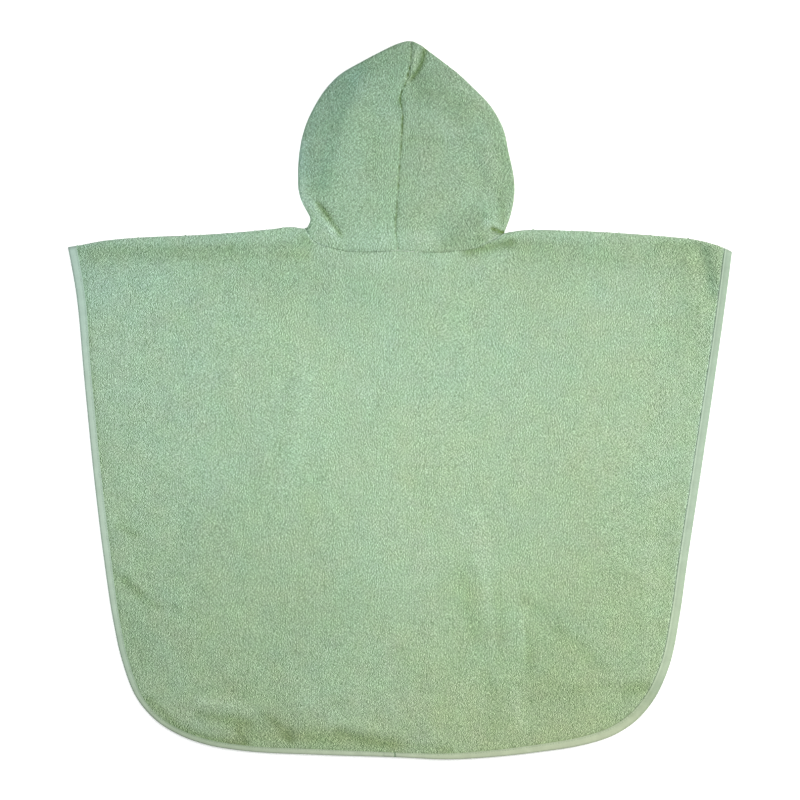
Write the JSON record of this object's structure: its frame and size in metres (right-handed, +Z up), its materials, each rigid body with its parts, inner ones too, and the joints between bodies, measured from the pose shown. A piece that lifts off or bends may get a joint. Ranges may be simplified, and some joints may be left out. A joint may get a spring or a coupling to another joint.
{
  "type": "hooded bath poncho",
  "caption": "Toddler's hooded poncho towel in terry towelling with taped edges, laid out flat with its back up.",
  "frame": {"origin": "middle of the garment's footprint, on the surface that it lies on", "axes": "+Y from the hem towards the peak of the hood, +X across the shoulders, +Z up out of the back of the garment"},
  "size_m": [0.764, 0.8266, 0.0105],
  "materials": {
    "towelling": "cotton terry towelling, uncut loops on both faces, dyed sage green",
    "tape": "plain woven cotton bias tape, dyed to match, topstitched"
  },
  "bodies": {
    "root": {"back_panel": "towelling", "front_panel": "towelling", "hood_left": "towelling", "hood_right": "towelling", "back_binding": "tape", "front_binding": "tape", "hood_binding": "tape"}
  },
  "joints": []
}
